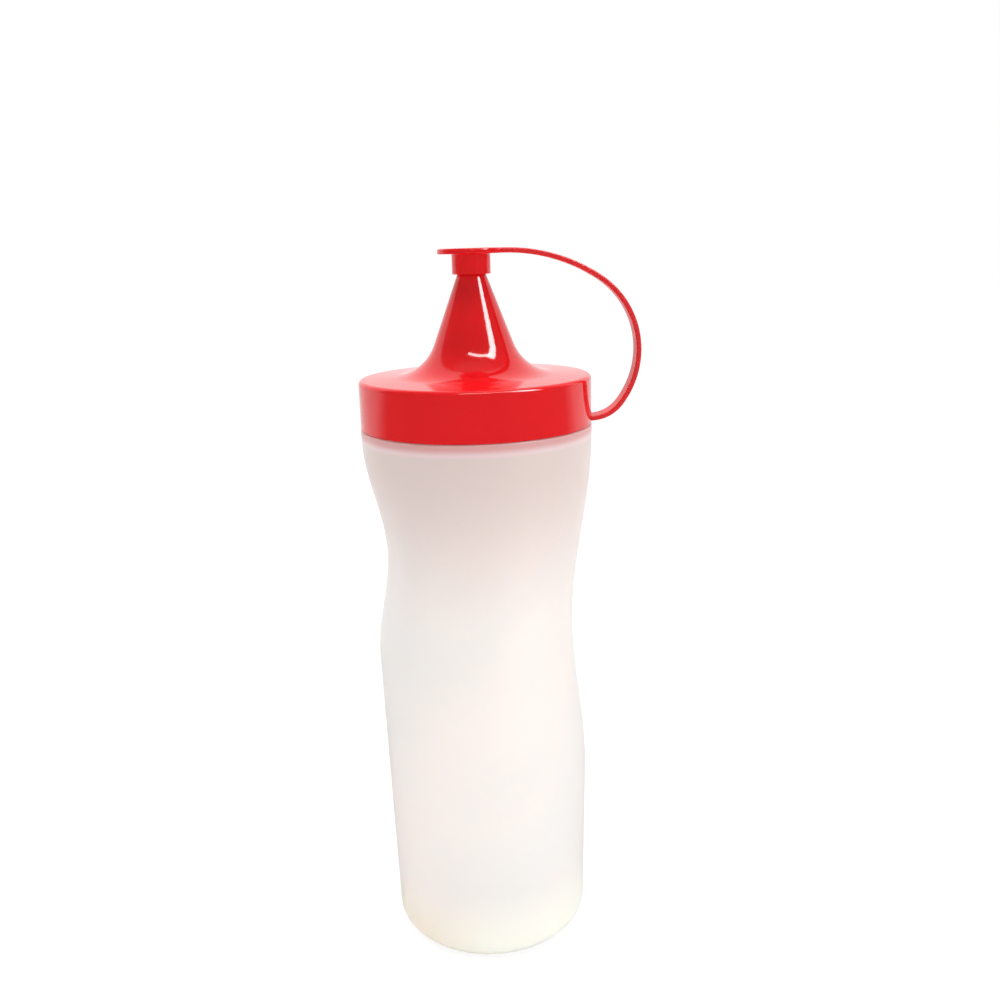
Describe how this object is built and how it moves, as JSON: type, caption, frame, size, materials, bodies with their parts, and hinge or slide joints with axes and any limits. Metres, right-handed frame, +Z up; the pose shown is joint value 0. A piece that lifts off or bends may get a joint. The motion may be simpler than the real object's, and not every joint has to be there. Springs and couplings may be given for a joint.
{
  "type": "squeeze bottle",
  "caption": "Round squeeze bottle with shallow grips pressed into its sides, and a lid with a tapered pouring nozzle and a tip cap held by a flat strap.",
  "frame": {"origin": "on the bottle's axis, in the plane that it stands on", "axes": "+Z up along the bottle's axis, +X towards the strap, -Y towards the front"},
  "size_m": [0.0851, 0.0702, 0.2189],
  "materials": {
    "bottle": "natural milky polyethylene, satin",
    "lid": "red polypropylene, satin gloss"
  },
  "bodies": {
    "root": {"bottle": "bottle", "lid": "lid"}
  },
  "joints": []
}
